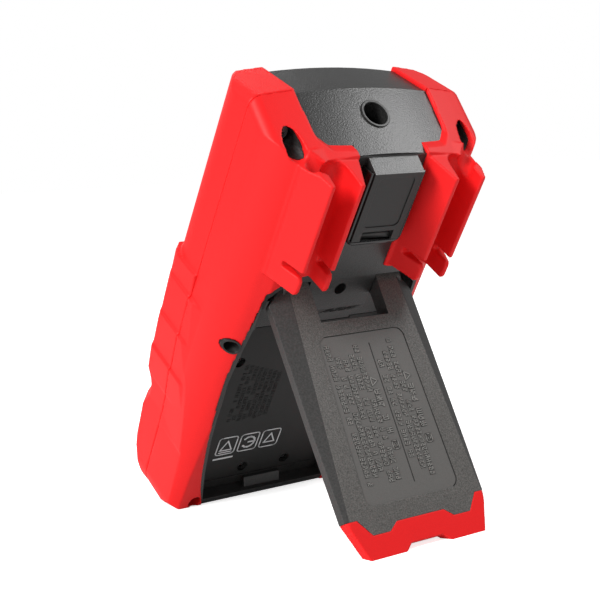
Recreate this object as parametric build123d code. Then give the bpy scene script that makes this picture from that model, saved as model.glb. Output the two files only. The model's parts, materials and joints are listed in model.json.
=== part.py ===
"""Handheld digital multimeter standing on its tilt stand, one STEP per piece.

Everything is modelled upright first: x to the right as the user sees the display, y towards the
back, z up the long axis, with the parting plane of the two case halves at y = 0. The finished
pieces are then leaned back together, so that the rear bottom corners and the stand's foot both
stand on z = 0, and the origin is the centre of the footprint box.
"""
from build123d import *
from math import atan2, cos, degrees, radians, sin
import os

# ------------------------------------------------------------------ driving dimensions (mm, deg)
HALF_W = 50.0                 # half the width over the case sides, at the parting plane
CROWN_Z = 161.0               # top of the arched top edge
ARCH = 3.8                    # rise of that arch
BOTTOM_Z = -41.0              # middle of the bottom edge
FRONT_Y = -22.5               # front rim of the grips
BACK_Y = 28.0                 # back plane of the case, above the stand
BEVEL_RUN = (29.8, -13.0)     # sloping rear top face: run in y, fall in z
FRONT_RUN = (-22.5, -3.2)     # front half's top face: run in y, fall in z
TAPER = ((40.0, 0.0), (6.0, 2.8), (-22.0, 3.6))    # (z, narrowing) of the sides towards the bottom
LEDGES_Z = (76.8, 66.5, 47.5, 29.5, 16.0)    # ledges of the side grips, from top to bottom
PROUD = 1.6                   # the soft grips stand this much proud of the dark case
GRIP_T = 2.4                  # thickness of the soft grips
WALL_T = 2.4                  # case wall
TALL = 220.0                  # longer than the case, for cutting prisms
WIDE = 70.0                   # wider than half the case, for cutting prisms

# stand
PIVOT_Y = 23.0                # hinge axis
PIVOT_Z = 83.9
KNUCKLE_R = 5.0               # hinge axis to the outer face of the stand
STAND_OPEN = 59.4             # opened angle, from the long axis towards the back
STAND_FOLDED = -2.0           # folded angle, same measure
STAND_LEN = 108.7             # hinge axis to the end of the foot
CHEEK_X = 16.6                # inner face of the hinge cheeks
PIN_R = 2.0
PIN_GAP = 0.08                # running clearance round the hinge pins
CORNER_POINT = (44.0, 24.5, -28.2)    # point on the bevel of the rear bottom corner
PAD_POINT = (24.6, -29.7)     # (y, z) of the rear bottom corners that stand on the floor
FLOOR_TRIM = 0.4              # depth of the flats worn on foot and corners by the floor plane

# probe holders, right-hand one; the left one is its mirror image
HOLDER_X = 28.95              # middle of the channel
CHANNEL_R = 5.65
CHANNEL_Y = 33.0              # axis of the channel's round bottom
HOLDER_TIP_Y = 42.0
HOLDER_TOP_Z = 144.3
HOLDER_BOTTOM_Z = 106.7
PRONG_TOP_Z = 104.4
PRONG_BOTTOM_Z = 96.6
SLOT_Y = 32.6                 # end of the slot between a wall and its prong

# optical port on the back
PORT_TOP_Z = 146.3
PORT_BOTTOM_Z = 111.2
PORT_HALF = 13.0
PORT_FACE_Y = 34.5

# front layout
FASCIA_Y = -21.35             # outer face of the front panel
FASCIA_TOP = 151.8            # upper edge of the front panel's opening
LENS = (37.0, 92.0, 143.0)    # half width, bottom, top of the display lens
KNOB_Z = 28.0
KNOB_R = 22.5
BUTTON_X = (-30.4, -10.2, 10.2, 30.4)
BUTTON_Z = (79.0, 65.5)
BUTTON_SIZE = (15.0, 8.0)
BUTTON_TRAVEL = 1.2
JACK_X = (-28.5, -9.5, 9.5, 28.5)
JACK_Z = -17.0
JACK_R = 2.0                  # bore of the 4 mm input sockets
JACK_DEPTH = 17.0

# fasteners: (x, z, seat y, well radius)
CASE_SCREWS = {
    "upper": (40.8, 148.0, 9.0, 3.9),
    "middle": (43.0, 60.0, 8.0, 3.2),
    "lower": (35.4, -27.0, 8.0, 2.9),
}
TROUGH = ((39.9, 26.2, 149.7), (33.9, 32.3, 143.5), 3.4)    # ends of the axis, radius
CENTRE_SCREW = (0.0, 84.0, 16.0, 2.7)
COVER_SCREWS = ((11.0, -17.0), (32.0, 46.0))
SHANK_R = 1.4

# service cover over batteries and fuses; fuses: z, radius, length
COVER_T = 2.2
FUSES = {"high_current": (62.5, 5.15, 38.0), "low_current": (74.5, 3.2, 32.0)}
FLOOR_TOP = (20.3, 80.0)      # (y, z) of the recess floor near the hinge
FLOOR_BOTTOM = (18.5, -27.0)  # (y, z) of the recess floor near the bottom rim


# ------------------------------------------------------------------ small helpers
def polygon(points):
    """Closed face from a list of corner points."""
    return make_face(Polyline(*points, close=True))


def mirrored(points):
    """Half outline (x > 0, from top to bottom) completed with its mirror image."""
    return points + [(-x, z) for x, z in reversed(points)]


def slab_y(face, y0, y1):
    """Face drawn in (x, z), made solid between y0 and y1."""
    return extrude(Plane.XZ.offset(-y1) * face, amount=y1 - y0)


def slab_x(face, x0, x1):
    """Face drawn in (y, z), made solid between x0 and x1."""
    return extrude(Plane.YZ.offset(x0) * face, amount=x1 - x0)


def slab_z(face, z0, z1):
    """Face drawn in (x, y), made solid between z0 and z1."""
    return extrude(Plane.XY.offset(z0) * face, amount=z1 - z0)


def block(x0, x1, y0, y1, z0, z1):
    """Box from its corner coordinates."""
    return Pos((x0 + x1) / 2, (y0 + y1) / 2, (z0 + z1) / 2) * Box(x1 - x0, y1 - y0, z1 - z0)


def rod_y(x, z, radius, y0, y1):
    """Cylinder along y."""
    return Pos(x, (y0 + y1) / 2, z) * Rot(90, 0, 0) * Cylinder(radius, y1 - y0)


def rod_x(y, z, radius, x0, x1):
    """Cylinder along x."""
    return Pos((x0 + x1) / 2, y, z) * Rot(0, 90, 0) * Cylinder(radius, x1 - x0)


def rod_z(x, y, radius, z0, z1):
    """Cylinder along z."""
    return Pos(x, y, (z0 + z1) / 2) * Cylinder(radius, z1 - z0)


def twin(shape):
    """Mirror image of a shape across the middle plane."""
    return mirror(shape, about=Plane.YZ)


def right_of_middle():
    """Everything with x > 0."""
    return block(0, WIDE, -WIDE, 2 * WIDE, -TALL, TALL)


# ------------------------------------------------------------------ case envelopes
def case_outline(inset=0.0):
    """Outline of the case at the parting plane, drawn in (x, z)."""
    side = HALF_W - inset
    crown = CROWN_Z - inset
    eave = crown - ARCH
    bottom = BOTTOM_Z + inset
    low_side = side - TAPER[-1][1]
    corner_r = 14.0 - inset
    corner_z = bottom + 0.5 + corner_r
    bulge_x = low_side - corner_r * (1 - cos(radians(45)))
    bulge_z = corner_z - corner_r * sin(radians(45))
    right = [
        ThreePointArc((side - 4.0, eave), (side - 1.4, eave - 1.35), (side, eave - 4.6)),
        Line((side, eave - 4.6), (side, TAPER[0][0])),
        Line((side, TAPER[0][0]), (side - TAPER[1][1], TAPER[1][0])),
        Line((side - TAPER[1][1], TAPER[1][0]), (low_side, corner_z)),
        ThreePointArc((low_side, corner_z), (bulge_x, bulge_z), (low_side - corner_r, bottom + 0.5)),
    ]
    crest = ThreePointArc((4.0 - side, eave), (0, crown), (side - 4.0, eave))
    base = ThreePointArc((low_side - corner_r, bottom + 0.5), (0, bottom),
                         (corner_r - low_side, bottom + 0.5))
    left = [edge.mirror(Plane.YZ) for edge in right]
    return make_face(Wire([crest, base] + right + left))


def slanted(face, run, reach):
    """Outline carried from the parting plane along a sloping top face, to a depth in y."""
    path = Vector(0, run[0], run[1]) * abs(reach / run[0])
    return extrude(Plane.XZ * face, amount=path.length, dir=path.normalized())


def footprint(inset, y0, y1):
    """Straight prism over the outline's rounded bottom end, open at the top."""
    upper = Pos(0, TALL / 2) * Rectangle(2 * (HALF_W - inset), TALL)
    return slab_y(case_outline(inset) + upper, y0, y1)


def rear_corner(inset):
    """Material outside the rear bottom corner's bevel, right-hand side."""
    out = Vector(0.645, 0.346, -0.681)
    plane = Plane(Vector(CORNER_POINT) + out * (20 - inset), z_dir=out)
    return plane * Box(80, 80, 40)


def rear_envelope(inset=0.0):
    """Outside of the rear half, moved inward by an inset on all sides but the parting plane."""
    body = slanted(case_outline(inset), BEVEL_RUN, 45.0) & footprint(inset, -1, 50)
    body = body - rear_corner(inset) - twin(rear_corner(inset))
    half = HALF_W - inset
    back = BACK_Y + 0.8 - inset
    profile = polygon([(0, TALL), (back, TALL), (back, 86), (24.9 - inset, -12),
                       (PAD_POINT[0] - inset, PAD_POINT[1] + inset), (12, -37.6 + inset),
                       (0, -41.5 + inset)])
    rounding = ThreePointArc((half, 10.5), (half - 2.2, 18.6 - inset / 2), (half - 8.5, back - 3.1))
    slope = Line((half - 8.5, back - 3.1), (half - 14.5, back + 0.5))
    right = [Line((half, 0), (half, 10.5)), rounding, slope]
    left = [edge.mirror(Plane.YZ) for edge in right]
    across = [Line((half - 14.5, back + 0.5), (14.5 - half, back + 0.5)), Line((-half, 0), (half, 0))]
    section = make_face(Wire(right + left + across))
    return body & slab_x(profile, -WIDE, WIDE) & slab_z(section, -TALL, TALL)


def front_corner(inset=0.0):
    """Right-hand front edge seen along its own bevel: (distance out, z), with a thumb notch."""
    edge = [(60, TALL), (60, LEDGES_Z[0]), (49.9, LEDGES_Z[0]), (49.2, 66.5),
            (49.6, 66.5), (48.7, 47.5), (49.1, 47.5), (48.2, 29.5), (48.7, 29.5), (47.5, 17.0),
            (45.0, 13.5), (43.8, 10.5), (43.5, 6.0), (44.1, 2.0), (45.4, -2.5), (44.7, -10.5),
            (44.1, -18.4), (43.0, -24.0), (40.5, -30.0), (37.0, -35.0), (31.0, -40.0), (22.0, -50.0)]
    face = polygon([(-TALL, TALL)] + [(out - inset, z) for out, z in edge] + [(-TALL, -50.0)])
    across = Plane(origin=(0, 0, 0), x_dir=(0.758, -0.652, 0), z_dir=(-0.652, -0.758, 0))
    return extrude(across * face, amount=120, both=True)


def front_envelope(inset=0.0):
    """Outside of the front half, without the side swells."""
    half = HALF_W - inset
    front = FRONT_Y + inset
    rounding = ThreePointArc((half, -9.0), (half - 2.2, -17.0 + inset / 2), (half - 7.0, front))
    right = [Line((half, 0), (half, -9.0)), rounding]
    left = [edge.mirror(Plane.YZ) for edge in right]
    across = [Line((half - 7.0, front), (7.0 - half, front)), Line((-half, 0), (half, 0))]
    section = make_face(Wire(right + left + across))
    profile = polygon([(0, TALL), (front, TALL), (front, -34 + inset), (-16, -41.5 + inset),
                       (0, -41.5 + inset)])
    body = slanted(case_outline(inset), FRONT_RUN, 30.0) & slab_z(section, -TALL, TALL)
    body = body & slab_x(profile, -WIDE, WIDE)
    return body & front_corner(inset) & twin(front_corner(inset))


def side_x(z):
    """Half width of the case at a height z, at the parting plane."""
    for (z0, narrow0), (z1, narrow1) in zip(TAPER, TAPER[1:]):
        if z1 <= z <= z0:
            return HALF_W - narrow0 - (narrow1 - narrow0) * (z0 - z) / (z0 - z1)
    return HALF_W if z > TAPER[0][0] else HALF_W - TAPER[-1][1]


def ledge_outline():
    """Side grips seen from the front, right-hand side: a step at each ledge, falling in below."""
    outline = [(40, LEDGES_Z[-1] - 3.5), (40, LEDGES_Z[0])]
    for upper, lower in zip(LEDGES_Z, LEDGES_Z[1:]):
        outline.append((side_x(upper) + 1.1, upper))
        outline.append((side_x(lower) + 0.3, lower))
    return polygon(outline + [(side_x(LEDGES_Z[-1]) - 1.0, LEDGES_Z[-1] - 3.5)])


def side_swell():
    """Thicker stepped grip on the front half's side, right-hand side."""
    section = polygon([(42, -0.1), (51.2, -0.1), (51.2, -14.5), (49.4, -19.2), (46.2, -22.9),
                       (42, -22.9)])
    return slab_z(section, -45, 85) & slab_y(ledge_outline(), -40, 5) & front_corner()


def rear_steps():
    """Low stepped pads that carry the ledges on to the rear half's side, right-hand side."""
    section = polygon([(42, 0), (51.2, 0), (51.0, 4.0), (49.9, 10.0), (48.6, 14.0), (46.0, 17.0),
                       (42, 17.0)])
    return slab_z(section, -45, LEDGES_Z[1]) & slab_y(ledge_outline(), -5, 40)


def dark_back():
    """Area of the back where the dark case shows between the grips, drawn in (x, z)."""
    half = [(31.6, TALL), (31.6, 156.0), (30.9, 150.4), (26.6, 148.6), (16.2, 148.9),
            (16.2, 145.8), (15.9, 118), (15.7, 95.4), (29.5, 93.0), (37.2, 87.0), (38.4, 74),
            (40.0, 60), (41.4, 42), (40.9, 24), (39.8, 10), (37.0, -8), (34.6, -19), (31.0, -30),
            (27.2, -33.0), (27.2, -TALL)]
    return polygon(mirrored(half))


def floor_y(z):
    """Depth of the recess floor at a height z."""
    slope = (FLOOR_TOP[0] - FLOOR_BOTTOM[0]) / (FLOOR_TOP[1] - FLOOR_BOTTOM[1])
    return FLOOR_BOTTOM[0] + slope * (z - FLOOR_BOTTOM[1])


def floor_slab(z0, z1, under, over):
    """Layer that follows the recess floor, from a depth under it to a height over it."""
    return slab_x(polygon([(floor_y(z0) - under, z0), (floor_y(z0) + over, z0),
                           (floor_y(z1) + over, z1), (floor_y(z1) - under, z1)]), -WIDE, WIDE)


def recess_outline(inset=0.0):
    """Outline of the recess that takes the folded stand, drawn in (x, z)."""
    half = [(28.3, 91.0), (35.9, 84.8), (36.9, 74), (38.4, 60), (39.8, 42), (39.3, 24),
            (38.2, 10), (35.4, -8), (33.2, -19), (31.4, -26.4)]
    return polygon(mirrored([(x - inset, z + (inset if z < 0 else -inset)) for x, z in half]))


def recess_cut():
    """Everything the stand recess takes away, around the middle boss and the bottom tab."""
    pocket = slab_y(recess_outline(), 0, 60) & floor_slab(-60, 95, 0, 60)
    knuckle_room = slab_y(recess_outline(), 17.4, 60) & block(-WIDE, WIDE, 0, 60, 77.0, 95)
    boss = slab_x(polygon([(0, 91.5), (BACK_Y - 1.8, 91.5), (BACK_Y - 2.2, 74),
                           (floor_y(66) - 1, 66), (0, 66)]), -CHEEK_X + 0.6, CHEEK_X - 0.6)
    tab = slab_x(polygon([(0, -22.8), (20.2, -22.8), (22.4, -26.6), (22.4, -40), (0, -40)]),
                 -9.3, 9.3)
    return pocket + knuckle_room - boss - tab


def bevel_plane(depth=0.0):
    """Plane on the sloping rear top face at the screw well, a depth below the dark surface."""
    run_y, fall_z = BEVEL_RUN
    middle_y = 11.0
    middle_z = CROWN_Z - PROUD + middle_y * fall_z / run_y
    normal = Vector(0, -fall_z, run_y).normalized()
    return Plane(Vector(0, middle_y, middle_z) - normal * depth, x_dir=(1, 0, 0), z_dir=normal)


def bevel_rod(radius, depth0, depth1):
    """Cylinder square to the sloping top face, between two depths under the dark surface."""
    return bevel_plane((depth0 + depth1) / 2) * Cylinder(radius, abs(depth1 - depth0))


# ------------------------------------------------------------------ rear half
def rear_casing():
    """Dark rear half: shell, stand recess, port seat, middle hinge boss and screw bosses."""
    core = rear_envelope(GRIP_T)
    dark = slab_y(dark_back(), 0, 60)
    shown = rear_envelope(PROUD) & dark
    centre = rear_envelope(0) & dark & block(-WIDE, WIDE, 0, BACK_Y, 70, 147)
    rim = rear_envelope(0.5) & dark & block(-WIDE, WIDE, 0, BACK_Y, -TALL, 71)
    shell = core + shown + centre + rim
    inner_depth = slab_x(polygon([(-1, TALL), (24.0, TALL), (24.0, 97), (14.6, 93), (13.6, -38),
                                  (-1, -38)]), -WIDE, WIDE)
    shell -= rear_envelope(GRIP_T + WALL_T) & inner_depth
    for x, z, seat, radius in CASE_SCREWS.values():
        boss = rod_y(x, z, radius + 1.4, 0.2, 30) & core
        shell += boss + twin(boss)
    for x, z in COVER_SCREWS:
        boss = rod_y(x, z, 4.6, 9.0, 16.0)
        shell += boss + twin(boss)
    shell += rod_y(0, CENTRE_SCREW[1], 5.0, 0.2, 16)
    shell += bevel_rod(7.4, 3, 13) & core
    shell += port_brow()
    shell -= recess_cut()
    shell -= cover_seat()
    shell -= port_seat()
    shell -= bevel_rod(6.2, -6, 0.8) + bevel_rod(5.0, -6, 10) + bevel_rod(1.6, 9, 16)
    for x, z, seat, radius in CASE_SCREWS.values():
        well = rod_y(x, z, radius, seat, 60) + rod_y(x, z, SHANK_R + 0.3, -1, seat + 1)
        shell -= well + twin(well)
    shell -= rod_y(0, CENTRE_SCREW[1], CENTRE_SCREW[3], CENTRE_SCREW[2], 60)
    shell -= rod_y(0, CENTRE_SCREW[1], SHANK_R + 0.3, -1, CENTRE_SCREW[2] + 1)
    bore = rod_x(PIVOT_Y, PIVOT_Z, PIN_R, 9.0, CHEEK_X)
    shell -= bore + twin(bore)
    shell -= case_gasket()
    return shell


def port_brow():
    """Sloping brow above the optical port, between the tongue and the port's face."""
    return slab_x(polygon([(24, 148.0), (BEVEL_RUN[0] - 0.9, PORT_TOP_Z), (PORT_FACE_Y + 0.3, 143.5),
                           (BACK_Y - 1, 143.5), (24, 143.5)]), -11.6, 11.6)


def port_seat():
    """Seat of the optical port's housing, through the back wall."""
    return block(-PORT_HALF, PORT_HALF, BACK_Y - 2.0, 60, PORT_BOTTOM_Z, 143.5) \
        + block(-9, 9, 20, 60, 118, 140)


def port_housing():
    """Glossy frame round the optical port, with rounded lower corners."""
    outline = polygon([(-PORT_HALF, 143.5), (PORT_HALF, 143.5), (PORT_HALF, PORT_BOTTOM_Z + 3),
                       (PORT_HALF - 0.9, PORT_BOTTOM_Z + 0.9), (PORT_HALF - 3, PORT_BOTTOM_Z),
                       (3 - PORT_HALF, PORT_BOTTOM_Z), (0.9 - PORT_HALF, PORT_BOTTOM_Z + 0.9),
                       (-PORT_HALF, PORT_BOTTOM_Z + 3)])
    body = slab_y(outline, BACK_Y - 2.0, PORT_FACE_Y - 0.5)
    return body - block(-11.6, 11.6, BACK_Y - 0.4, 60, 113.0, 150) - block(-8, 8, 20, 60, 119, 139)


def port_cover():
    """Satin cover of the optical port, with a finger notch at its lower edge."""
    body = block(-11.5, 11.5, BACK_Y - 0.4, PORT_FACE_Y, 113.2, 143.4)
    notch = slab_x(polygon([(PORT_FACE_Y + 0.1, 117.6), (PORT_FACE_Y - 1.6, 115.4),
                            (PORT_FACE_Y - 1.6, 113.0), (PORT_FACE_Y + 0.1, 113.0)]), -7.5, 7.5)
    panel = slab_y(RectangleRounded(17.0, 22.0, 2.2), PORT_FACE_Y - 0.35, PORT_FACE_Y + 1)
    return body - notch - Pos(0, 0, 130.5) * panel


def ir_board():
    """Small board with the infrared emitter, behind the optical port."""
    body = block(-9.5, 9.5, 17.6, 19.2, 112, 142)
    body += rod_y(0, 130, 2.5, 19.2, 25.0)
    return body + block(-6, 6, 15.2, 17.6, 116, 122)


def holder_section(tip_y):
    """Cross-section of a probe holder, from its base to a depth, drawn in (x, y)."""
    base_y = 24.0
    slope_in = (21.5 - 16.5) / (HOLDER_TIP_Y - BACK_Y)
    slope_out = (41.0 - 36.4) / (HOLDER_TIP_Y - BACK_Y)
    return polygon([(16.5, base_y), (16.5, BACK_Y), (16.5 + slope_in * (tip_y - BACK_Y), tip_y),
                    (41.0 - slope_out * (tip_y - BACK_Y), tip_y), (41.0, BACK_Y), (41.0, base_y)])


def probe_holder():
    """Right-hand probe holder: a channel for the probe body over a two-pronged fork."""
    top = slab_x(polygon([(20, 60), (60, 60), (60, 143.6), (HOLDER_TIP_Y, HOLDER_TOP_Z),
                          (BACK_Y + 0.6, 146.9), (20, 150.6)]), 0, WIDE)
    walls = slab_z(holder_section(HOLDER_TIP_Y), HOLDER_BOTTOM_Z, 150) & top
    neck = slab_z(holder_section(SLOT_Y), PRONG_TOP_Z - 1, HOLDER_BOTTOM_Z + 1)
    prongs = slab_x(polygon([(20, PRONG_BOTTOM_Z), (HOLDER_TIP_Y - 0.9, PRONG_BOTTOM_Z),
                             (HOLDER_TIP_Y, PRONG_BOTTOM_Z + 1.8), (HOLDER_TIP_Y, PRONG_TOP_Z - 1.4),
                             (HOLDER_TIP_Y - 1.0, PRONG_TOP_Z), (20, PRONG_TOP_Z)]), 0, WIDE)
    fork = slab_z(holder_section(HOLDER_TIP_Y), PRONG_BOTTOM_Z, PRONG_TOP_Z)
    return walls + neck + (fork & prongs)


def channel_cut():
    """Room for the probe: round bottom, domed top, open towards the back and downwards."""
    dome_z = HOLDER_TOP_Z - 1.3
    groove = rod_z(HOLDER_X, CHANNEL_Y, CHANNEL_R, 80, dome_z)
    groove += Pos(HOLDER_X, CHANNEL_Y, dome_z) * Sphere(CHANNEL_R)
    groove += block(HOLDER_X - CHANNEL_R, HOLDER_X + CHANNEL_R, CHANNEL_Y, 60, 80, dome_z)
    return groove + rod_y(HOLDER_X, dome_z, CHANNEL_R, CHANNEL_Y, 60)


def rear_grip():
    """Right-hand soft grip of the rear half, with its probe holder."""
    body = (rear_envelope(0) + rear_steps()) & right_of_middle()
    body += probe_holder()
    body -= rear_envelope(GRIP_T)
    body -= slab_y(dark_back(), -1, 60)
    body -= channel_cut()
    for x, z, seat, radius in CASE_SCREWS.values():
        body -= rod_y(x, z, radius, 0, 60)
    return body - screw_trough()


def screw_trough():
    """Shallow trough that runs from the upper screw well down towards the probe holder."""
    start, end, radius = TROUGH
    along = Vector(end) - Vector(start)
    return Plane(Vector(start) + along / 2, z_dir=along.normalized()) * Cylinder(radius, 18.0)


def middle_collar():
    """Dark collars that line the middle screw wells where they pass the soft grips."""
    x, z, seat, radius = CASE_SCREWS["middle"]
    liner = rod_y(x, z, radius, 12.0, 30) & rear_envelope(-0.3)
    liner -= rod_y(x, z, radius - 0.7, 11, 60)
    return liner + twin(liner)


def case_gasket():
    """Seal between the two case halves."""
    return slab_y(case_outline(3.1), 0, 1.0) - slab_y(case_outline(4.0), -1, 2.0)


def cover_outline(inset=0.0):
    """Outline of the service cover, drawn in (x, z)."""
    half = [(34.6, 64.0), (36.0, 31), (34.9, 4), (33.0, -14), (31.2, -22.0)]
    return polygon(mirrored([(x - inset, z + (inset if z < 0 else -inset)) for x, z in half]))


def cover_seat():
    """Rebate for the service cover, its cups, and the opening behind it."""
    seat = slab_y(cover_outline(), 0, 60) & floor_slab(-30, 66, COVER_T + 0.2, 30)
    seat -= block(-CHEEK_X + 0.6, CHEEK_X - 0.6, 0, 60, 63.0, 70)
    seat += block(-27, 27, 5, 30, -3, 56) - block(24, 27, 0, 60, 38, 54) \
        - block(-27, -24, 0, 60, 38, 54)
    for x, z in COVER_SCREWS:
        cup = rod_y(x, z, 3.7, floor_y(z) - 6.2, 30) + rod_y(x, z, SHANK_R, 8, 20)
        seat += cup + twin(cup)
    return seat


def service_cover():
    """Plate over the batteries and fuses, with a cup for each of its four screws."""
    plate = slab_y(cover_outline(0.35), 0, 60) & floor_slab(-30, 66, COVER_T, 0)
    plate -= block(-CHEEK_X, CHEEK_X, 0, 60, 62.6, 70)
    for x, z in COVER_SCREWS:
        floor = floor_y(z)
        cup = rod_y(x, z, 3.5, floor - 6.0, floor - 0.5)
        plate += cup + twin(cup)
        well = rod_y(x, z, 2.5, floor - 4.6, floor + 1) + rod_y(x, z, SHANK_R, floor - 7, floor)
        plate -= well + twin(well)
    return plate


def screw(x, z, seat, head_r, tip):
    """Cross-head screw along y: round head on its seat, shank to a tip depth."""
    body = rod_y(x, z, head_r, seat, seat + 2.2) + rod_y(x, z, SHANK_R, tip, seat + 0.5)
    body -= block(x - 0.45, x + 0.45, seat + 1.0, seat + 3, z - head_r * 0.6, z + head_r * 0.6)
    return body - block(x - head_r * 0.6, x + head_r * 0.6, seat + 1.0, seat + 3,
                        z - 0.45, z + 0.45)


def case_screws(name):
    """Left and right screw of one row of case screws."""
    x, z, seat, radius = CASE_SCREWS[name]
    one = screw(x, z, seat, radius - 1.0, -14.0)
    return one + twin(one)


def cover_screws():
    """Four short screws of the service cover."""
    group = None
    for x, z in COVER_SCREWS:
        one = screw(x, z, floor_y(z) - 4.6, 2.2, floor_y(z) - 8.2)
        pair = one + twin(one)
        group = pair if group is None else group + pair
    return group


def bevel_collar():
    """Raised ring round the screw well in the sloping top face."""
    return bevel_rod(6.2, -0.5, 0.8) - bevel_rod(5.0, -3, 3)


def bevel_screw():
    """Screw at the bottom of the sloping well."""
    body = bevel_rod(3.0, 7.8, 10.0) + bevel_rod(SHANK_R, 9, 15.5)
    slot = bevel_plane(8.0) * Box(3.8, 0.9, 1.6)
    cross = bevel_plane(8.0) * Box(0.9, 3.8, 1.6)
    return body - slot - cross


# ------------------------------------------------------------------ front half
def dark_top():
    """Middle of the front half's top, where the dark case shows between the grips."""
    return block(-31.3, 31.3, -40, 1, 140, TALL)


def front_casing():
    """Dark front half: shell, bosses, and openings for display, keys, knob and inputs."""
    core = front_envelope(GRIP_T)
    shown = front_envelope(PROUD) & dark_top()
    shell = core + (shown - block(-WIDE, WIDE, -60, FRONT_Y + GRIP_T, 0, FASCIA_TOP))
    shell -= front_envelope(GRIP_T + WALL_T)
    for x, z, seat, radius in CASE_SCREWS.values():
        boss = (rod_y(x, z, 3.4, -19, -0.2) & core) - rod_y(x, z, SHANK_R, -14.5, 1)
        shell += boss + twin(boss)
        pilot = rod_y(x, z, SHANK_R, -14.5, 1)
        shell -= pilot + twin(pilot)
    shell += rod_y(0, CENTRE_SCREW[1], 3.4, -13.7, -0.2)
    shell += block(-2, 2, -18.5, -9.6, CENTRE_SCREW[1] + 0.6, 91.0)
    shell += rod_y(0, KNOB_Z, 7.0, -19, -13.7)
    half, low, high = LENS
    shell -= block(3 - half, half - 3, -60, -15, low + 3, high - 3)
    shell -= rod_y(0, KNOB_Z, 4.0 + PIN_GAP, -60, -10)
    shell -= rod_y(0, CENTRE_SCREW[1], SHANK_R, -10.5, 1)
    shell -= button_holes(0.3)
    for x in JACK_X:
        shell -= rod_y(x, JACK_Z, 6.3, -60, -15)
    return shell


def button_holes(gap):
    """Openings for the keys."""
    cut = None
    for z in BUTTON_Z:
        for x in BUTTON_X:
            hole = Pos(x, 0, z) * slab_y(RectangleRounded(BUTTON_SIZE[0] + 2 * gap,
                                                          BUTTON_SIZE[1] + 2 * gap, 2.5), -60, -15)
            cut = hole if cut is None else cut + hole
    return cut


def fascia():
    """Front panel of the dark half."""
    outline = polygon(mirrored([(36.0, 151.5), (40.6, 147.0), (40.6, 24.0), (36.4, 12.0),
                                (36.4, 2.0), (36.8, -19.0), (31.5, -29.0), (28.0, -32.0)]))
    panel = slab_y(outline, FASCIA_Y, FRONT_Y + GRIP_T)
    half, low, high = LENS
    panel -= block(-half - 0.1, half + 0.1, -60, 0, low - 0.1, high + 0.1)
    panel -= rod_y(0, KNOB_Z, 5.0, -60, 0)
    panel -= button_holes(0.3)
    for x in JACK_X:
        panel -= rod_y(x, JACK_Z, 6.3, -60, 0)
    return panel


def front_grip():
    """Right-hand soft grip of the front half."""
    body = (front_envelope(0) + side_swell()) & right_of_middle()
    body -= front_envelope(GRIP_T)
    body -= dark_top()
    opening = polygon(mirrored([(36.2, 151.8), (40.8, 147.2), (40.8, 24.0), (36.6, 12.0),
                                (36.6, 2.0), (37.0, -19.1), (31.6, -29.2), (28.1, -32.2)]))
    body -= slab_y(opening, -60, -15)
    return body - block(-1, 31.3, -60, 5, 130, TALL)


def display_lens():
    """Clear window in front of the display."""
    half, low, high = LENS
    return block(-half, half, FASCIA_Y, FRONT_Y + GRIP_T, low, high)


def lcd_panel():
    """Liquid crystal display."""
    half, low, high = LENS
    return block(1 - half, half - 1, -17.3, -15.1, low + 1, high - 1)


def lcd_frame():
    """Light guide and frame between the display and the main board."""
    half, low, high = LENS
    body = block(-half, half, -15.0, -9.2, low, high)
    return body - block(3 - half, half - 3, -13.3, -9, low + 3, high - 3) \
        - block(3 - half, half - 3, -16, -14.4, low + 3, high - 3)


def main_board():
    """Main circuit board, with clearance for bosses and input sockets."""
    outline = polygon(mirrored([(36.0, 150.0), (36.8, 20.0), (36.8, -18.0), (29.0, -24.0),
                                (29.0, -31.0)]))
    board = slab_y(outline, -9.0, -7.4)
    board -= rod_y(0, CENTRE_SCREW[1], 3.6, -20, 0)
    for x in JACK_X:
        board -= rod_y(x, JACK_Z, 3.05, -20, 0)
    return board


def key_mat():
    """Contact mat under the keys."""
    return block(-39.3, 39.3, -15.2, -14.1, 60.0, 84.0) - rod_y(0, CENTRE_SCREW[1], 4, -30, 0)


def key(x, z):
    """Key cap with the flange that keeps it in its hole."""
    cap = Pos(x, 0, z) * slab_y(RectangleRounded(BUTTON_SIZE[0], BUTTON_SIZE[1], 2.3), -23.55,
                                -17.0)
    flange = Pos(x, 0, z) * slab_y(RectangleRounded(16.4, 9.6, 2.5), -17.4, -16.6)
    return cap + flange


def knob():
    """Selector knob: skirt, grip bar and spindle."""
    body = rod_y(0, KNOB_Z, KNOB_R, -24.4, -21.8)
    body += rod_y(0, KNOB_Z, 17.0, -26.8, -24.4)
    bar = polygon([(-5.0, KNOB_Z - 20), (5.0, KNOB_Z - 20), (6.0, KNOB_Z), (3.2, KNOB_Z + 21),
                   (-3.2, KNOB_Z + 21), (-6.0, KNOB_Z)])
    body += slab_y(bar, -32.3, -23.8)
    body += rod_y(0, KNOB_Z, 4.0, -22.3, -13.0)
    return body - block(-0.7, 0.7, -40, -31.7, KNOB_Z + 6, KNOB_Z + 19.5)


def knob_pointer():
    """Light line let into the knob's grip bar."""
    return block(-0.65, 0.65, -32.4, -31.7, KNOB_Z + 6.1, KNOB_Z + 19.4)


def selector_rotor():
    """Contact disc on the end of the knob's spindle."""
    return rod_y(0, KNOB_Z, 14.0, -13.0, -11.2)


def jack_sleeve(x):
    """Brass sleeve of one 4 mm input socket."""
    mouth = FASCIA_Y + 2.1
    return rod_y(x, JACK_Z, 3.0, mouth, mouth + JACK_DEPTH + 1.5) \
        - rod_y(x, JACK_Z, JACK_R, mouth - 1, mouth + JACK_DEPTH)


def jack_shroud(x):
    """Moulded insulating shroud round one input socket."""
    body = rod_y(x, JACK_Z, 7.4, FASCIA_Y - 1.4, FASCIA_Y) + rod_y(x, JACK_Z, 6.2, -22.0, -10.2)
    return body - rod_y(x, JACK_Z, 4.9, -30, -12.5) - rod_y(x, JACK_Z, 3.0, -30, 0)


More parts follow.
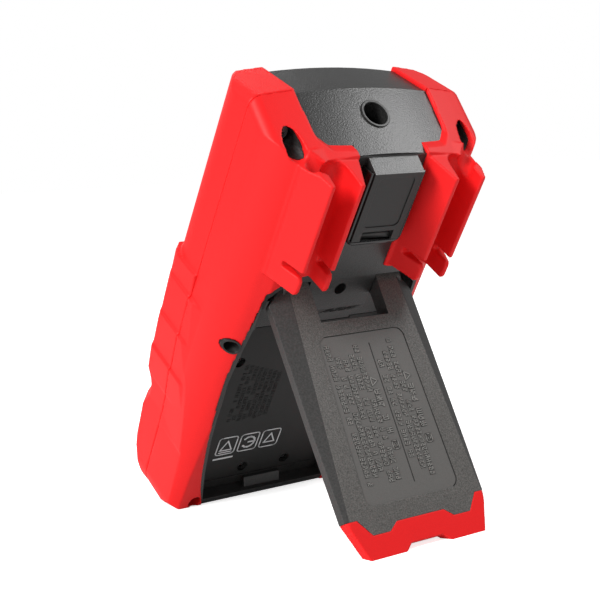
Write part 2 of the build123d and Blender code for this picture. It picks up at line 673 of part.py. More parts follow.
# ------------------------------------------------------------------ inside
def batteries():
    """Four AA cells."""
    group = None
    for x in (-21.6, -7.2, 7.2, 21.6):
        cell = rod_z(x, 4.4, 7.0, 1.5, 50.0) + rod_z(x, 4.4, 2.7, 50.0, 51.5)
        group = cell if group is None else group + cell
    return group


def battery_tray():
    """Tray that carries the cells on the main board."""
    tray = block(-29.6, 29.6, -6.2, 6.0, -1.5, 54.5) - block(-28.8, 28.8, -4.0, 7.0, -0.7, 53.7)
    return tray


def battery_contacts():
    """Contact plates at both ends of the cells."""
    group = None
    for x in (-14.4, 14.4):
        pair = block(x - 13, x + 13, -2.0, 8.0, -0.6, 0.0) + block(x - 13, x + 13, -2.0, 8.0,
                                                                  52.9, 53.5)
        group = pair if group is None else group + pair
    return group


def fuse(z, radius, length):
    """Cartridge fuse lying across the case."""
    half = length / 2
    return rod_x(3.0, z, radius, -half, half)


def fuse_clips():
    """Spring clips that hold the two fuses on the main board."""
    group = None
    for z, radius, length in FUSES.values():
        for x in (-length / 2 + 4, length / 2 - 4):
            clip = block(x - 3, x + 3, -7.3, 3.0, z - radius - 0.6, z + radius + 0.6)
            clip -= rod_x(3.0, z, radius, x - 4, x + 4)
            group = clip if group is None else group + clip
    return group


def buzzer():
    """Round buzzer on the main board."""
    return rod_y(22, 118, 8.0, -7.3, 0.5) - rod_y(22, 118, 1.2, -1, 2)


# ------------------------------------------------------------------ stand
def stand_plane(angle=STAND_OPEN):
    """Frame of the stand: x across, y from the hinge to the foot, z out of its outer face."""
    turn = radians(angle)
    return Plane((0, PIVOT_Y, PIVOT_Z), x_dir=(1, 0, 0), z_dir=(0, cos(turn), sin(turn)))


def stand_loft(sections):
    """Solid between two mirrored cross-sections, each given as (y, [(x, z), ...])."""
    faces = []
    for y, half in sections:
        points = half + [(-x, z) for x, z in reversed(half)]
        faces.append(Plane((0, y, 0), x_dir=(1, 0, 0), z_dir=(0, -1, 0)) * polygon(points))
    return loft(faces)


def stand_body():
    """Dished stand with chamfered sides, in its own frame, before the foot is parted off."""
    end = STAND_LEN + 2
    skin = stand_loft([(0, [(26.4, 5.0), (34.8, 1.0), (34.8, -2.0)]),
                       (end, [(33.4, 5.0), (34.4, 4.3), (34.4, 0.8)])])
    outline = polygon(mirrored([(29.0, 0), (34.9, 6.0), (34.9, 40), (33.9, 92.8),
                                (27.8, STAND_LEN)]))
    body = skin & slab_z(outline, -10, 10)
    dish = stand_loft([(8, [(24.5, 2.6), (32.4, -1.0), (32.4, -6.0)]),
                       (90, [(30.4, 3.0), (31.8, 2.4), (31.8, -6.0)])])
    body -= dish & block(-WIDE, WIDE, 21.0, 88.0, -10, 10)
    knuckle = rod_x(0, 0, KNUCKLE_R, -29.0, 29.0)
    body += knuckle
    body -= block(-CHEEK_X, CHEEK_X, -20, 16.4, -10, 10)
    bore = rod_x(0, 0, PIN_R + PIN_GAP, 0, 26.0)
    return body - bore - twin(bore)


def panel_outline():
    """Smooth inner panel of the stand's outer face, drawn in (x, y) of the stand's frame."""
    face = polygon([(-20.6, 22.3), (20.6, 22.3), (22.8, 89.1), (-22.8, 89.1)])
    return fillet(face.vertices(), 4.0)


def foot_outline():
    """Outline of the soft foot, drawn in (x, y) of the stand's frame."""
    half = [(40, 92.8), (28.9, 92.8), (23.6, 99.4), (15.7, 99.4), (11.5, 96.3)]
    tail = [(-x, y) for x, y in reversed(half)]
    end = [(-40, 120), (-11.7, 120), (-11.7, 108.9), (-7.7, 105.4), (7.7, 105.4), (11.7, 108.9),
           (11.7, 120), (40, 120)]
    return polygon(half + tail + end)


def stand_plate():
    """Textured stand plate with the recessed panel."""
    body = stand_body() - slab_z(foot_outline(), -20, 20)
    body -= block(-12.0, 12.0, 96.3, 130, -20, 20)
    body -= slab_z(panel_outline(), 4.7, 10)
    return stand_plane() * body


def stand_foot():
    """Soft foot on the end of the stand."""
    body = stand_body() & slab_z(foot_outline(), -20, 20)
    return stand_plane() * body


def hinge_pin(side):
    """Hinge pin from the middle boss into one cheek of the stand."""
    pin = rod_x(PIVOT_Y, PIVOT_Z, PIN_R, 9.0, 25.6)
    return pin if side > 0 else twin(pin)


# ------------------------------------------------------------------ assembly
def lean_angle():
    """Lean that brings the rear bottom corners and the end of the stand to one level."""
    turn = radians(STAND_OPEN)
    tip_y = PIVOT_Y + STAND_LEN * sin(turn) + KNUCKLE_R * cos(turn)
    tip_z = PIVOT_Z - STAND_LEN * cos(turn) + KNUCKLE_R * sin(turn)
    return atan2(tip_z - PAD_POINT[1], tip_y - PAD_POINT[0])


def upright_pieces():
    """All pieces in the upright frame, by name."""
    grip = rear_grip()
    front = front_grip()
    pieces = {
        "rear_casing": rear_casing(),
        "rear_grip_right": grip,
        "rear_grip_left": twin(grip),
        "middle_collars": middle_collar(),
        "service_cover": service_cover(),
        "service_cover_screws": cover_screws(),
        "case_gasket": case_gasket(),
        "port_housing": port_housing(),
        "port_cover": port_cover(),
        "ir_board": ir_board(),
        "bevel_collar": bevel_collar(),
        "bevel_screw": bevel_screw(),
        "front_casing": front_casing(),
        "front_grip_right": front,
        "front_grip_left": twin(front),
        "fascia": fascia(),
        "display_lens": display_lens(),
        "lcd_panel": lcd_panel(),
        "lcd_frame": lcd_frame(),
        "main_board": main_board(),
        "key_mat": key_mat(),
        "batteries": batteries(),
        "battery_tray": battery_tray(),
        "battery_contacts": battery_contacts(),
        "fuse_clips": fuse_clips(),
        "buzzer": buzzer(),
        "centre_screw": screw(*CENTRE_SCREW[:3], CENTRE_SCREW[3] - 0.4, -10.0),
        "hinge_pin_right": hinge_pin(1),
        "hinge_pin_left": hinge_pin(-1),
        "stand_plate": stand_plate(),
        "stand_foot": stand_foot(),
        "selector_knob": knob(),
        "knob_pointer": knob_pointer(),
        "selector_rotor": selector_rotor(),
    }
    for name, size in FUSES.items():
        pieces["fuse_" + name] = fuse(*size)
    for name in CASE_SCREWS:
        pieces["case_screws_" + name] = case_screws(name)
    for number, x in enumerate(JACK_X, start=1):
        pieces[f"jack_sleeve_{number}"] = jack_sleeve(x)
        pieces[f"jack_shroud_{number}"] = jack_shroud(x)
    number = 0
    for z in BUTTON_Z:
        for x in BUTTON_X:
            number += 1
            pieces[f"key_{number}"] = key(x, z)
    return pieces


def standing_pieces():
    """All pieces leaned back on the stand, feet trimmed flat, origin under the middle."""
    lean = lean_angle()
    turned = {name: Rot(-degrees(lean), 0, 0) * shape for name, shape in upright_pieces().items()}
    floor = PAD_POINT[1] * cos(lean) - PAD_POINT[0] * sin(lean) + FLOOR_TRIM
    below = block(-WIDE, WIDE, -2 * TALL, 2 * TALL, floor - 50, floor)
    for name in ("stand_foot", "rear_grip_right", "rear_grip_left"):
        turned[name] -= below
    boxes = [shape.bounding_box() for shape in turned.values()]
    low = min(box.min.Y for box in boxes)
    high = max(box.max.Y for box in boxes)
    return {name: Pos(0, -(low + high) / 2, -floor) * shape for name, shape in turned.items()}


def main():
    """Write one STEP per piece."""
    os.makedirs("parts", exist_ok=True)
    for name, shape in standing_pieces().items():
        export_step(shape, f"parts/{name}.step")


if __name__ == "__main__":
    main()
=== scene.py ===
"""Looks of the handheld multimeter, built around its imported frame."""
import json
import math
import random

import bmesh
import bpy
from mathutils import Matrix, Vector


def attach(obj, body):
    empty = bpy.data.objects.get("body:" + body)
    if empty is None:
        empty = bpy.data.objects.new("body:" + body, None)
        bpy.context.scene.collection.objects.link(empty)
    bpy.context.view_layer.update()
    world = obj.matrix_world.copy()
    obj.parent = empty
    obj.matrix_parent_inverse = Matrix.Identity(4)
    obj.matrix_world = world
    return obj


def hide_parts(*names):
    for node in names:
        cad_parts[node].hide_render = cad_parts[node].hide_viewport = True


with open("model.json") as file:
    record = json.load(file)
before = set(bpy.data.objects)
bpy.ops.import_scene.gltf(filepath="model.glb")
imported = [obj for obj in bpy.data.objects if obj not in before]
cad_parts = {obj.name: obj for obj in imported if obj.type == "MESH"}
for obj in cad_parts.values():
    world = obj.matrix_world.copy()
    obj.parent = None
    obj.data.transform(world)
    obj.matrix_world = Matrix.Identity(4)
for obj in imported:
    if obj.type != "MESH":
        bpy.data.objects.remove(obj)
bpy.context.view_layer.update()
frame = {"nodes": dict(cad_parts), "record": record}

MM = 0.001

# The case's own upright axes, taken from the joints: x right, y to the back, z up the long axis.
JOINTS = {joint["name"]: joint for joint in frame["record"]["behaviour"]["joints"]}
Y_AXIS = Vector(JOINTS["selector_turn"]["axis"]).normalized()
X_AXIS = Vector((1.0, 0.0, 0.0))
Z_AXIS = X_AXIS.cross(Y_AXIS)
PIVOT = Vector(JOINTS["stand_fold"]["pos_m"])
PIVOT_Y = 23.0            # hinge axis of the stand in upright millimetres
PIVOT_Z = 83.9
STAND_OPEN = math.radians(59.4)
FASCIA_Y = -21.35         # outer face of the front panel
DISPLAY_Y = -17.3         # outer face of the display
KNOB_Z = 28.0
JACK_Z = -17.0
JACK_X = (-28.5, -9.5, 9.5, 28.5)
KEY_X = (-30.4, -10.2, 10.2, 30.4)
KEY_LABEL_Z = (71.4, 57.9)
KEYS = range(1, 9)        # numbers of the eight keys
FLOOR_LOW = (18.5, -27.0)    # (y, z) low on the recess floor
FLOOR_SLOPE = 1.8 / 107.0    # how much further back the floor lies, per millimetre up
BOSS_TOP = (25.8, 74.0)   # (y, z) of the upper edge of the middle boss's slope
BOSS_DOWN = (-0.644, -0.765)    # (y, z) of a step of one millimetre down that slope

# Rounding of the soft pieces: voxel in millimetres, number of smoothing passes.
GRIP_ROUNDING = (0.5, 2)
FOOT_ROUNDING = (0.35, 1)
SHARP_EDGE = 32.0         # degrees; edges sharper than this are broken
SHADE_LIMIT = 14.0        # degrees; flatter edges are shaded smoothly
KEY_EDGE = 0.8            # millimetres of rounding on the keys
PLATE_EDGE = 0.25         # and on the stand plate

# Nodes with slightly broken edges: node, look, edge width, body.
CRISP = (
    ("rear_casing", "dark", 0.3, "case"),
    ("port_cover", "satin", 0.3, "case"),
    ("port_housing", "gloss", 0.5, "case"),
    ("bevel_collar", "satin", 0.3, "case"),
    ("middle_collars", "satin", 0.2, "case"),
    ("selector_knob", "key_dark", 0.6, "selector"),
)


def place(x, y, z):
    """Point in the row's frame, in metres, from upright millimetres."""
    return (PIVOT + X_AXIS * (x * MM) + Y_AXIS * ((y - PIVOT_Y) * MM)
            + Z_AXIS * ((z - PIVOT_Z) * MM))


STAND_DOWN = Y_AXIS * math.sin(STAND_OPEN) - Z_AXIS * math.cos(STAND_OPEN)
STAND_OUT = Y_AXIS * math.cos(STAND_OPEN) + Z_AXIS * math.sin(STAND_OPEN)


def on_stand(x, s, n):
    """Point from the stand's own millimetres: across, hinge to foot, out of its outer face."""
    return PIVOT + X_AXIS * (x * MM) + STAND_DOWN * (s * MM) + STAND_OUT * (n * MM)


# ------------------------------------------------------------------ materials
def new_material(name, roughness, color):
    """Principled material and its nodes."""
    material = bpy.data.materials.new(name)
    material.use_nodes = True
    nodes = material.node_tree.nodes
    links = material.node_tree.links
    shader = nodes["Principled BSDF"]
    shader.inputs["Base Color"].default_value = (*color, 1.0)
    shader.inputs["Roughness"].default_value = roughness
    return material, nodes, links, shader


def add_noise(nodes, links, scale, detail=2.0):
    """Noise texture in object coordinates."""
    where = nodes.new("ShaderNodeTexCoord")
    noise = nodes.new("ShaderNodeTexNoise")
    noise.inputs["Scale"].default_value = scale
    noise.inputs["Detail"].default_value = detail
    links.new(where.outputs["Object"], noise.inputs["Vector"])
    return noise


def add_ramp(nodes, links, source, stops):
    """Colour ramp over a noise's factor."""
    ramp = nodes.new("ShaderNodeValToRGB")
    while len(ramp.color_ramp.elements) < len(stops):
        ramp.color_ramp.elements.new(0.5)
    for element, (position, color) in zip(ramp.color_ramp.elements, stops):
        element.position = position
        element.color = (*color, 1.0)
    links.new(source, ramp.inputs["Fac"])
    return ramp


def add_bump(nodes, links, shader, source, strength, distance):
    """Bump from a source's factor."""
    bump = nodes.new("ShaderNodeBump")
    bump.inputs["Strength"].default_value = strength
    bump.inputs["Distance"].default_value = distance
    links.new(source, bump.inputs["Height"])
    links.new(bump.outputs["Normal"], shader.inputs["Normal"])


def scaled(color, factor):
    """Colour made lighter or darker."""
    return tuple(min(1.0, channel * factor) for channel in color)


def moulded(name, color, roughness, grain, spread, strength, distance, specular=0.5):
    """Moulded plastic or rubber: grain of one size in colour and bump, with an even roughness."""
    material, nodes, links, shader = new_material(name, roughness, color)
    noise = add_noise(nodes, links, grain, 3.0)
    ramp = add_ramp(nodes, links, noise.outputs["Fac"],
                    [(0.3, scaled(color, 1 - spread)), (0.7, scaled(color, 1 + spread))])
    links.new(ramp.outputs["Color"], shader.inputs["Base Color"])
    add_bump(nodes, links, shader, noise.outputs["Fac"], strength, distance)
    shader.inputs["Specular IOR Level"].default_value = specular
    return material


def tpe_red():
    """Soft-touch red grip."""
    return moulded("tpe_red", (0.74, 0.010, 0.011), 0.5, 2600.0, 0.04, 0.25, 0.00005, 0.22)


def abs_dark():
    """Dark case plastic with fine spark-eroded grain."""
    return moulded("abs_dark", (0.018, 0.018, 0.0175), 0.33, 1700.0, 0.35, 0.7, 0.00014)


def abs_recess():
    """Smoother dark plastic of the recess floor."""
    return moulded("abs_recess", (0.011, 0.011, 0.0105), 0.5, 1800.0, 0.15, 0.25, 0.00006, 0.3)


def stand_grain():
    """Coarser grain of the stand's faces."""
    return moulded("stand_grain", (0.088, 0.084, 0.079), 0.40, 1900.0, 0.45, 0.8, 0.00016)


def stand_edge():
    """Painted shade: darker copy of the stand's plastic for its edges and flanges, the faces
    turned away from its outer face.
    """
    return moulded("stand_edge", (0.030, 0.029, 0.028), 0.42, 1500.0, 0.35, 0.6, 0.00015)


def stand_satin():
    """Smooth satin of the stand's panel."""
    return moulded("stand_satin", (0.105, 0.101, 0.096), 0.42, 2200.0, 0.08, 0.15, 0.00004)


def satin_dark():
    """Satin dark plastic."""
    return moulded("satin_dark", (0.016, 0.016, 0.0155), 0.34, 2400.0, 0.12, 0.2, 0.00005, 0.3)


def gloss_black():
    """Polished black plastic."""
    return moulded("gloss_black", (0.008, 0.008, 0.008), 0.14, 900.0, 0.2, 0.05, 0.00004)


def zinc():
    """Zinc-plated steel."""
    material = moulded("zinc", (0.42, 0.42, 0.43), 0.33, 1400.0, 0.15, 0.15, 0.00005)
    material.node_tree.nodes["Principled BSDF"].inputs["Metallic"].default_value = 1.0
    return material


def brass():
    """Turned brass."""
    material = moulded("brass", (0.70, 0.50, 0.20), 0.25, 1400.0, 0.12, 0.1, 0.00004)
    material.node_tree.nodes["Principled BSDF"].inputs["Metallic"].default_value = 1.0
    return material


def clear_lens():
    """Clear lens over the display."""
    material, nodes, links, shader = new_material("clear_lens", 0.05, (0.9, 0.95, 0.95))
    noise = add_noise(nodes, links, 40.0)
    add_bump(nodes, links, shader, noise.outputs["Fac"], 0.02, 0.0002)
    shader.inputs["Transmission Weight"].default_value = 1.0
    shader.inputs["IOR"].default_value = 1.45
    return material


def make_materials():
    """All materials by name."""
    return {
        "red": tpe_red(),
        "dark": abs_dark(),
        "recess": abs_recess(),
        "stand": stand_grain(),
        "edge": stand_edge(),
        "panel": stand_satin(),
        "satin": satin_dark(),
        "gloss": gloss_black(),
        "zinc": zinc(),
        "brass": brass(),
        "lens": clear_lens(),
        "display": moulded("display", (0.46, 0.52, 0.44), 0.3, 800.0, 0.03, 0.02, 0.00002),
        # Lighter than the panel: painted highlight on the raised letters and on the foot's rim.
        "painted_highlight": moulded("pale_painted_highlight", (0.20, 0.195, 0.185), 0.35, 2200.0, 0.08, 0.1, 0.00003),
        "white": moulded("white_print", (0.62, 0.63, 0.64), 0.55, 1500.0, 0.08, 0.1, 0.00003),
        # Dark for the painted shadow round the stand's raised letters, the painted shade in its
        # grooves, and the dark marks on the boss.
        "groove": moulded("dark_groove", (0.012, 0.012, 0.011), 0.6, 1500.0, 0.1, 0.1, 0.00003),
        "ink": moulded("display_ink", (0.02, 0.025, 0.02), 0.5, 900.0, 0.1, 0.02, 0.00002),
        "board": moulded("board_green", (0.02, 0.16, 0.06), 0.3, 700.0, 0.2, 0.1, 0.00005),
        "key": moulded("key_grey", (0.16, 0.165, 0.17), 0.5, 2200.0, 0.08, 0.2, 0.00005),
        "key_dark": moulded("knob_black", (0.032, 0.032, 0.032), 0.4, 1800.0, 0.15, 0.3, 0.00006),
        "sleeve": moulded("battery_sleeve", (0.06, 0.11, 0.30), 0.3, 500.0, 0.1, 0.05, 0.00003),
        "ceramic": moulded("fuse_ceramic", (0.72, 0.70, 0.64), 0.25, 700.0, 0.05, 0.05, 0.00003),
    }


LOOK = make_materials()

NODE_LOOKS = {
    "red": ["rear_grip_right", "rear_grip_left", "front_grip_right", "front_grip_left",
            "stand_foot"],
    "dark": ["rear_casing", "front_casing"],
    "recess": ["service_cover"],
    "stand": ["stand_plate"],
    "satin": ["port_cover", "fascia", "middle_collars", "bevel_collar"],
    "gloss": ["port_housing", "case_gasket", "jack_shroud_1", "jack_shroud_2", "jack_shroud_3",
              "jack_shroud_4"],
    "zinc": ["case_screws_upper", "case_screws_middle", "case_screws_lower", "centre_screw",
             "service_cover_screws", "bevel_screw", "hinge_pin_right", "hinge_pin_left",
             "battery_contacts", "fuse_clips"],
    "brass": ["jack_sleeve_1", "jack_sleeve_2", "jack_sleeve_3", "jack_sleeve_4"],
    "lens": ["display_lens"],
    "display": ["lcd_panel"],
    "white": ["lcd_frame", "knob_pointer"],
    "board": ["main_board", "ir_board", "selector_rotor"],
    "key": ["key_mat"] + [f"key_{number}" for number in KEYS],
    "key_dark": ["selector_knob", "battery_tray", "buzzer"],
    "sleeve": ["batteries"],
    "ceramic": ["fuse_high_current", "fuse_low_current"],
}


def dress(piece, material):
    """One material over the whole piece."""
    piece.data.materials.clear()
    piece.data.materials.append(material)


def dress_nodes():
    """Materials on the CAD nodes."""
    for look, names in NODE_LOOKS.items():
        for name in names:
            node = frame["nodes"][name]
            for slot in node.material_slots:
                slot.material = LOOK[look]


# ------------------------------------------------------------------ pieces
def add_mesh_piece(name, mesh, body, material, replaced=()):
    """New piece from a mesh, riding on a body."""
    piece = bpy.data.objects.new(name, mesh)
    bpy.context.collection.objects.link(piece)
    dress(piece, material)
    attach(piece, body)
    for node in replaced:
        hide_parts(node)
    return piece


def refined_mesh(node_name, rounding):
    """Even, softly rounded mesh of a CAD node."""
    voxel, passes = rounding
    source = frame["nodes"][node_name]
    worker = bpy.data.objects.new("worker", source.data.copy())
    bpy.context.collection.objects.link(worker)
    remesh = worker.modifiers.new("even", "REMESH")
    remesh.mode = "VOXEL"
    remesh.voxel_size = voxel * MM
    remesh.use_smooth_shade = True
    smooth = worker.modifiers.new("soft", "SMOOTH")
    smooth.factor = 0.5
    smooth.iterations = passes
    graph = bpy.context.evaluated_depsgraph_get()
    mesh = bpy.data.meshes.new_from_object(worker.evaluated_get(graph))
    bpy.data.objects.remove(worker)
    return mesh


def build_soft_grips():
    """The four soft grips and the stand's foot, with rounded edges."""
    for side in ("right", "left"):
        for half in ("rear", "front"):
            node = f"{half}_grip_{side}"
            mesh = refined_mesh(node, GRIP_ROUNDING)
            add_mesh_piece(node + "_skin", mesh, "case", LOOK["red"], [node])
    mesh = refined_mesh("stand_foot", FOOT_ROUNDING)
    add_mesh_piece("stand_foot_skin", mesh, "stand", LOOK["red"], ["stand_foot"])


def crisp_mesh(node_name, width):
    """CAD node with small rounded edges."""
    mesh = frame["nodes"][node_name].data.copy()
    work = bmesh.new()
    work.from_mesh(mesh)
    bmesh.ops.remove_doubles(work, verts=work.verts, dist=1e-6)
    bmesh.ops.dissolve_limit(work, angle_limit=math.radians(0.6), verts=work.verts,
                             edges=work.edges)
    edges = [edge for edge in work.edges
             if edge.is_manifold and edge.calc_face_angle(0.0) > math.radians(SHARP_EDGE)]
    bmesh.ops.bevel(work, geom=edges, offset=width * MM, segments=2, profile=0.6,
                    affect="EDGES", clamp_overlap=True)
    work.to_mesh(mesh)
    work.free()
    for polygon in mesh.polygons:
        polygon.use_smooth = True
    mesh.set_sharp_from_angle(angle=math.radians(SHADE_LIMIT))
    return mesh


def build_crisp_pieces():
    """Moulded pieces whose edges are slightly broken."""
    for node, look, width, body in CRISP:
        add_mesh_piece(node + "_skin", crisp_mesh(node, width), body, LOOK[look], [node])
    for number in KEYS:
        node = f"key_{number}"
        mesh = crisp_mesh(node, KEY_EDGE)
        add_mesh_piece(node + "_skin", mesh, f"button_{number}", LOOK["key"], [node])


def build_stand():
    """Stand plate with grained face, painted shade on the edges and flanges that face away, and a
    satin panel.
    """
    mesh = crisp_mesh("stand_plate", PLATE_EDGE)
    piece = add_mesh_piece("stand_plate_skin", mesh, "stand", LOOK["stand"], ["stand_plate"])
    piece.data.materials.append(LOOK["edge"])
    piece.data.materials.append(LOOK["panel"])
    for polygon in mesh.polygons:
        offset = (polygon.center - PIVOT) / MM
        outward = polygon.normal.dot(STAND_OUT)
        height = offset.dot(STAND_OUT)
        # Faces turned away from the stand's outer face get the painted shade.
        if outward < 0.93:
            polygon.material_index = 1
        elif height < 4.8 and abs(offset.x) < 23.2 and 22.0 < offset.dot(STAND_DOWN) < 89.4:
            polygon.material_index = 2


# ------------------------------------------------------------------ printed and moulded marks
def stroke(points, width, closed=False):
    """Quads that follow a path in two dimensions."""
    if closed:
        points = points + [points[0]]
    quads = []
    for (a0, b0), (a1, b1) in zip(points, points[1:]):
        length = math.hypot(a1 - a0, b1 - b0)
        if length < 1e-6:
            continue
        end_a = (a1 - a0) / length * width / 2
        end_b = (b1 - b0) / length * width / 2
        side_a = -end_b
        side_b = end_a
        quads.append([(a0 - end_a + side_a, b0 - end_b + side_b),
                      (a0 - end_a - side_a, b0 - end_b - side_b),
                      (a1 + end_a - side_a, b1 + end_b - side_b),
                      (a1 + end_a + side_a, b1 + end_b + side_b)])
    return quads


def arc(center_a, center_b, radius, start, end, steps):
    """Points on an arc, angles in degrees."""
    points = []
    for step in range(steps + 1):
        turn = math.radians(start + (end - start) * step / steps)
        points.append((center_a + radius * math.cos(turn), center_b + radius * math.sin(turn)))
    return points


def rounded_box(a0, a1, b0, b1, radius):
    """Closed path of a rounded rectangle."""
    return (arc(a1 - radius, b1 - radius, radius, 0, 90, 5)
            + arc(a0 + radius, b1 - radius, radius, 90, 180, 5)
            + arc(a0 + radius, b0 + radius, radius, 180, 270, 5)
            + arc(a1 - radius, b0 + radius, radius, 270, 360, 5))


def add_marks(name, outlines, low, high, placer, body, material):
    """Thin prisms over flat outlines, as one piece."""
    vertices = []
    faces = []
    for outline in outlines:
        start = len(vertices)
        count = len(outline)
        vertices += [placer(a, b, low) for a, b in outline]
        vertices += [placer(a, b, high) for a, b in outline]
        faces.append([start + index for index in range(count)])
        faces.append([start + count + index for index in reversed(range(count))])
        for index in range(count):
            after = (index + 1) % count
            faces.append([start + after, start + index, start + count + index,
                          start + count + after])
    mesh = bpy.data.meshes.new(name)
    mesh.from_pydata(vertices, [], faces)
    work = bmesh.new()
    work.from_mesh(mesh)
    bmesh.ops.recalc_face_normals(work, faces=work.faces)
    work.to_mesh(mesh)
    work.free()
    return add_mesh_piece(name, mesh, body, material)


# Strokes that a meaningless mark is drawn from, in a unit box.
GLYPH_STROKES = (((0, 0), (0, 1)), ((1, 0), (1, 1)), ((0, 0), (1, 0)), ((0, 1), (1, 1)),
                 ((0, 0.5), (1, 0.5)), ((0, 0), (1, 1)), ((0.5, 0), (0.5, 1)))


def glyph_row(dice, middle, start, end, height, pitch, width):
    """Meaningless letter-like marks in a row along the second coordinate."""
    quads = []
    along = start
    while along + pitch * 0.7 < end:
        if dice.random() > 0.14:
            for (u0, v0), (u1, v1) in dice.sample(GLYPH_STROKES, 4):
                quads += stroke([(middle + height * (0.5 - v0), along + pitch * 0.66 * u0),
                                 (middle + height * (0.5 - v1), along + pitch * 0.66 * u1)],
                                width)
        along += pitch
    return quads


# Rows on the stand: middle across, start and end along. Titles: middle across.
STAND_ROWS = ((17.9, 26.0, 83.0), (14.4, 31.2, 79.5), (11.2, 32.6, 78.2), (7.6, 31.0, 82.6),
              (4.3, 27.4, 82.0), (-5.1, 34.7, 76.4), (-8.8, 31.6, 79.2), (-12.2, 26.8, 83.9))
STAND_TITLES = (1.0, -15.7)


def stand_lettering(extra):
    """Rows, titles and symbols on the stand's panel, their strokes widened by an extra."""
    dice = random.Random(7)
    marks = []
    for middle, start, end in STAND_ROWS:
        marks += glyph_row(dice, middle, start, end, 1.9, 1.6, 0.26 + extra)
    for middle in STAND_TITLES:
        marks += glyph_row(dice, middle, 46.0, 65.0, 2.3, 2.6, 0.36 + extra)
        marks += stroke([(middle + 1.3, 40.8), (middle + 1.3, 44.2), (middle - 1.5, 42.5)],
                        0.36 + extra, closed=True)
        marks += stroke(rounded_box(middle - 1.8, middle + 0.9, 66.8, 70.0, 0.5),
                        0.3 + extra, closed=True)
        marks += stroke(rounded_box(middle - 1.0, middle + 0.1, 67.8, 69.1, 0.3),
                        0.26 + extra, closed=True)
    return marks


def build_stand_marks():
    """Raised generic lettering in a lighter colour of painted highlight over wider dark strokes of
    painted shadow, divider and outline groove as dark strips of painted shade, and a pale strip of
    painted highlight along the foot's rim, on the stand's panel.
    """
    # Wider dark strokes under the raised letters: painted shadow round them.
    letter_shadow_strokes = stand_lettering(0.34)
    add_marks("stand_lettering_painted_shadow", letter_shadow_strokes, 4.65, 4.72, on_stand, "stand", LOOK["groove"])
    # Raised letters in the lighter colour of painted highlight.
    raised = stand_lettering(0.0)
    add_marks("stand_lettering", raised, 4.65, 4.98, on_stand, "stand", LOOK["painted_highlight"])
    # Divider and outline groove drawn as dark strips: painted shade in the grooves.
    groove_shade_strokes = stroke([(-2.6, 27.2), (-2.6, 83.5)], 0.42)
    groove_shade_strokes += stroke([(-22.5, 85.0)] + arc(-16.9, 26.2, 3.8, 180, 270, 5) + [(17.5, 22.4)], 0.34)
    groove_shade_strokes += stroke(arc(-18.7, 85.0, 3.9, 180, 110, 4), 0.34)
    add_marks("stand_grooves", groove_shade_strokes, 4.66, 4.76, on_stand, "stand", LOOK["groove"])
    # Pale strip along the foot's bevelled edge: painted highlight.
    rim_highlight = stroke([(-28.7, 92.6), (-23.6, 99.2), (-15.7, 99.2), (-11.5, 96.1), (11.5, 96.1),
                  (15.7, 99.2), (23.6, 99.2), (28.7, 92.6)], 0.3)
    add_marks("stand_foot_rim_highlight", rim_highlight, 4.9, 5.0, on_stand, "stand", LOOK["painted_highlight"])


def on_recess(x, z, height):
    """Point over the recess floor, from across, up and a height off the floor."""
    low_y, low_z = FLOOR_LOW
    return place(x, low_y + FLOOR_SLOPE * (z - low_z) + height, z)


def build_recess_marks():
    """Generic embossed rows and three pale marks on the recess floor."""
    dice = random.Random(11)
    rows = []
    for index in range(8):
        rows += glyph_row(dice, 27.5 - 2.6 * index, -44.0 + index, -12.0, 1.5, 1.5, 0.24)
    flipped = [[(a, -b) for a, b in quad] for quad in rows]
    add_marks("recess_lettering", flipped, -0.05, 0.12, on_recess, "case", LOOK["recess"])
    prints = []
    for middle in (23.5, 12.5, 1.5):
        prints += stroke(rounded_box(middle - 4.6, middle + 4.6, -6.8, 3.0, 1.4), 0.55,
                         closed=True)
    prints += stroke([(26.4, -4.4), (20.6, -4.4), (23.5, 0.8)], 0.6, closed=True)
    prints += stroke([(26.6, -5.6), (20.4, -5.6)], 0.5)
    prints += stroke(arc(12.5, -1.9, 3.0, 40, 320, 10), 0.9)
    prints += stroke([(9.6, -1.9), (12.6, -1.9)], 0.8)
    prints += stroke([(4.2, -4.2), (-1.2, -4.2), (1.5, 0.8)], 0.6, closed=True)
    prints += stroke([(28.0, -9.2), (18.8, -9.2)], 0.9)
    add_marks("recess_prints", prints, -0.02, 0.03, on_recess, "case", LOOK["white"])


def on_boss(x, down, height):
    """Point over the slope of the middle hinge boss: across, down the slope, height off it."""
    down_y, down_z = BOSS_DOWN
    return place(x, BOSS_TOP[0] + down_y * down - down_z * height,
                 BOSS_TOP[1] + down_z * down + down_y * height)


def build_boss_marks():
    """Short generic rows beside a line, seen through the notch of the stand."""
    dice = random.Random(5)
    rows = []
    for middle in (1.9, 4.3, 6.7, 9.0):
        rows += glyph_row(dice, middle, -12.0, 2.5, 1.4, 1.5, 0.3)
    turned = [[(b, a) for a, b in quad] for quad in rows]
    turned += stroke([(-13.6, 0.6), (-13.6, 9.2)], 0.35)
    add_marks("boss_lettering", turned, -0.03, 0.12, on_boss, "case", LOOK["groove"])


DIAL_STOPS = 11           # positions of the selector
DIAL_REACH = 120          # degrees from the top to either end of its scale
DIAL_RADII = (23.6, 25.0, 28.4)    # tick from, tick to, middle of the label


def on_front(x, z, height):
    """Point over the front panel, from across, up and a height off the panel."""
    return place(x, FASCIA_Y - height, z)


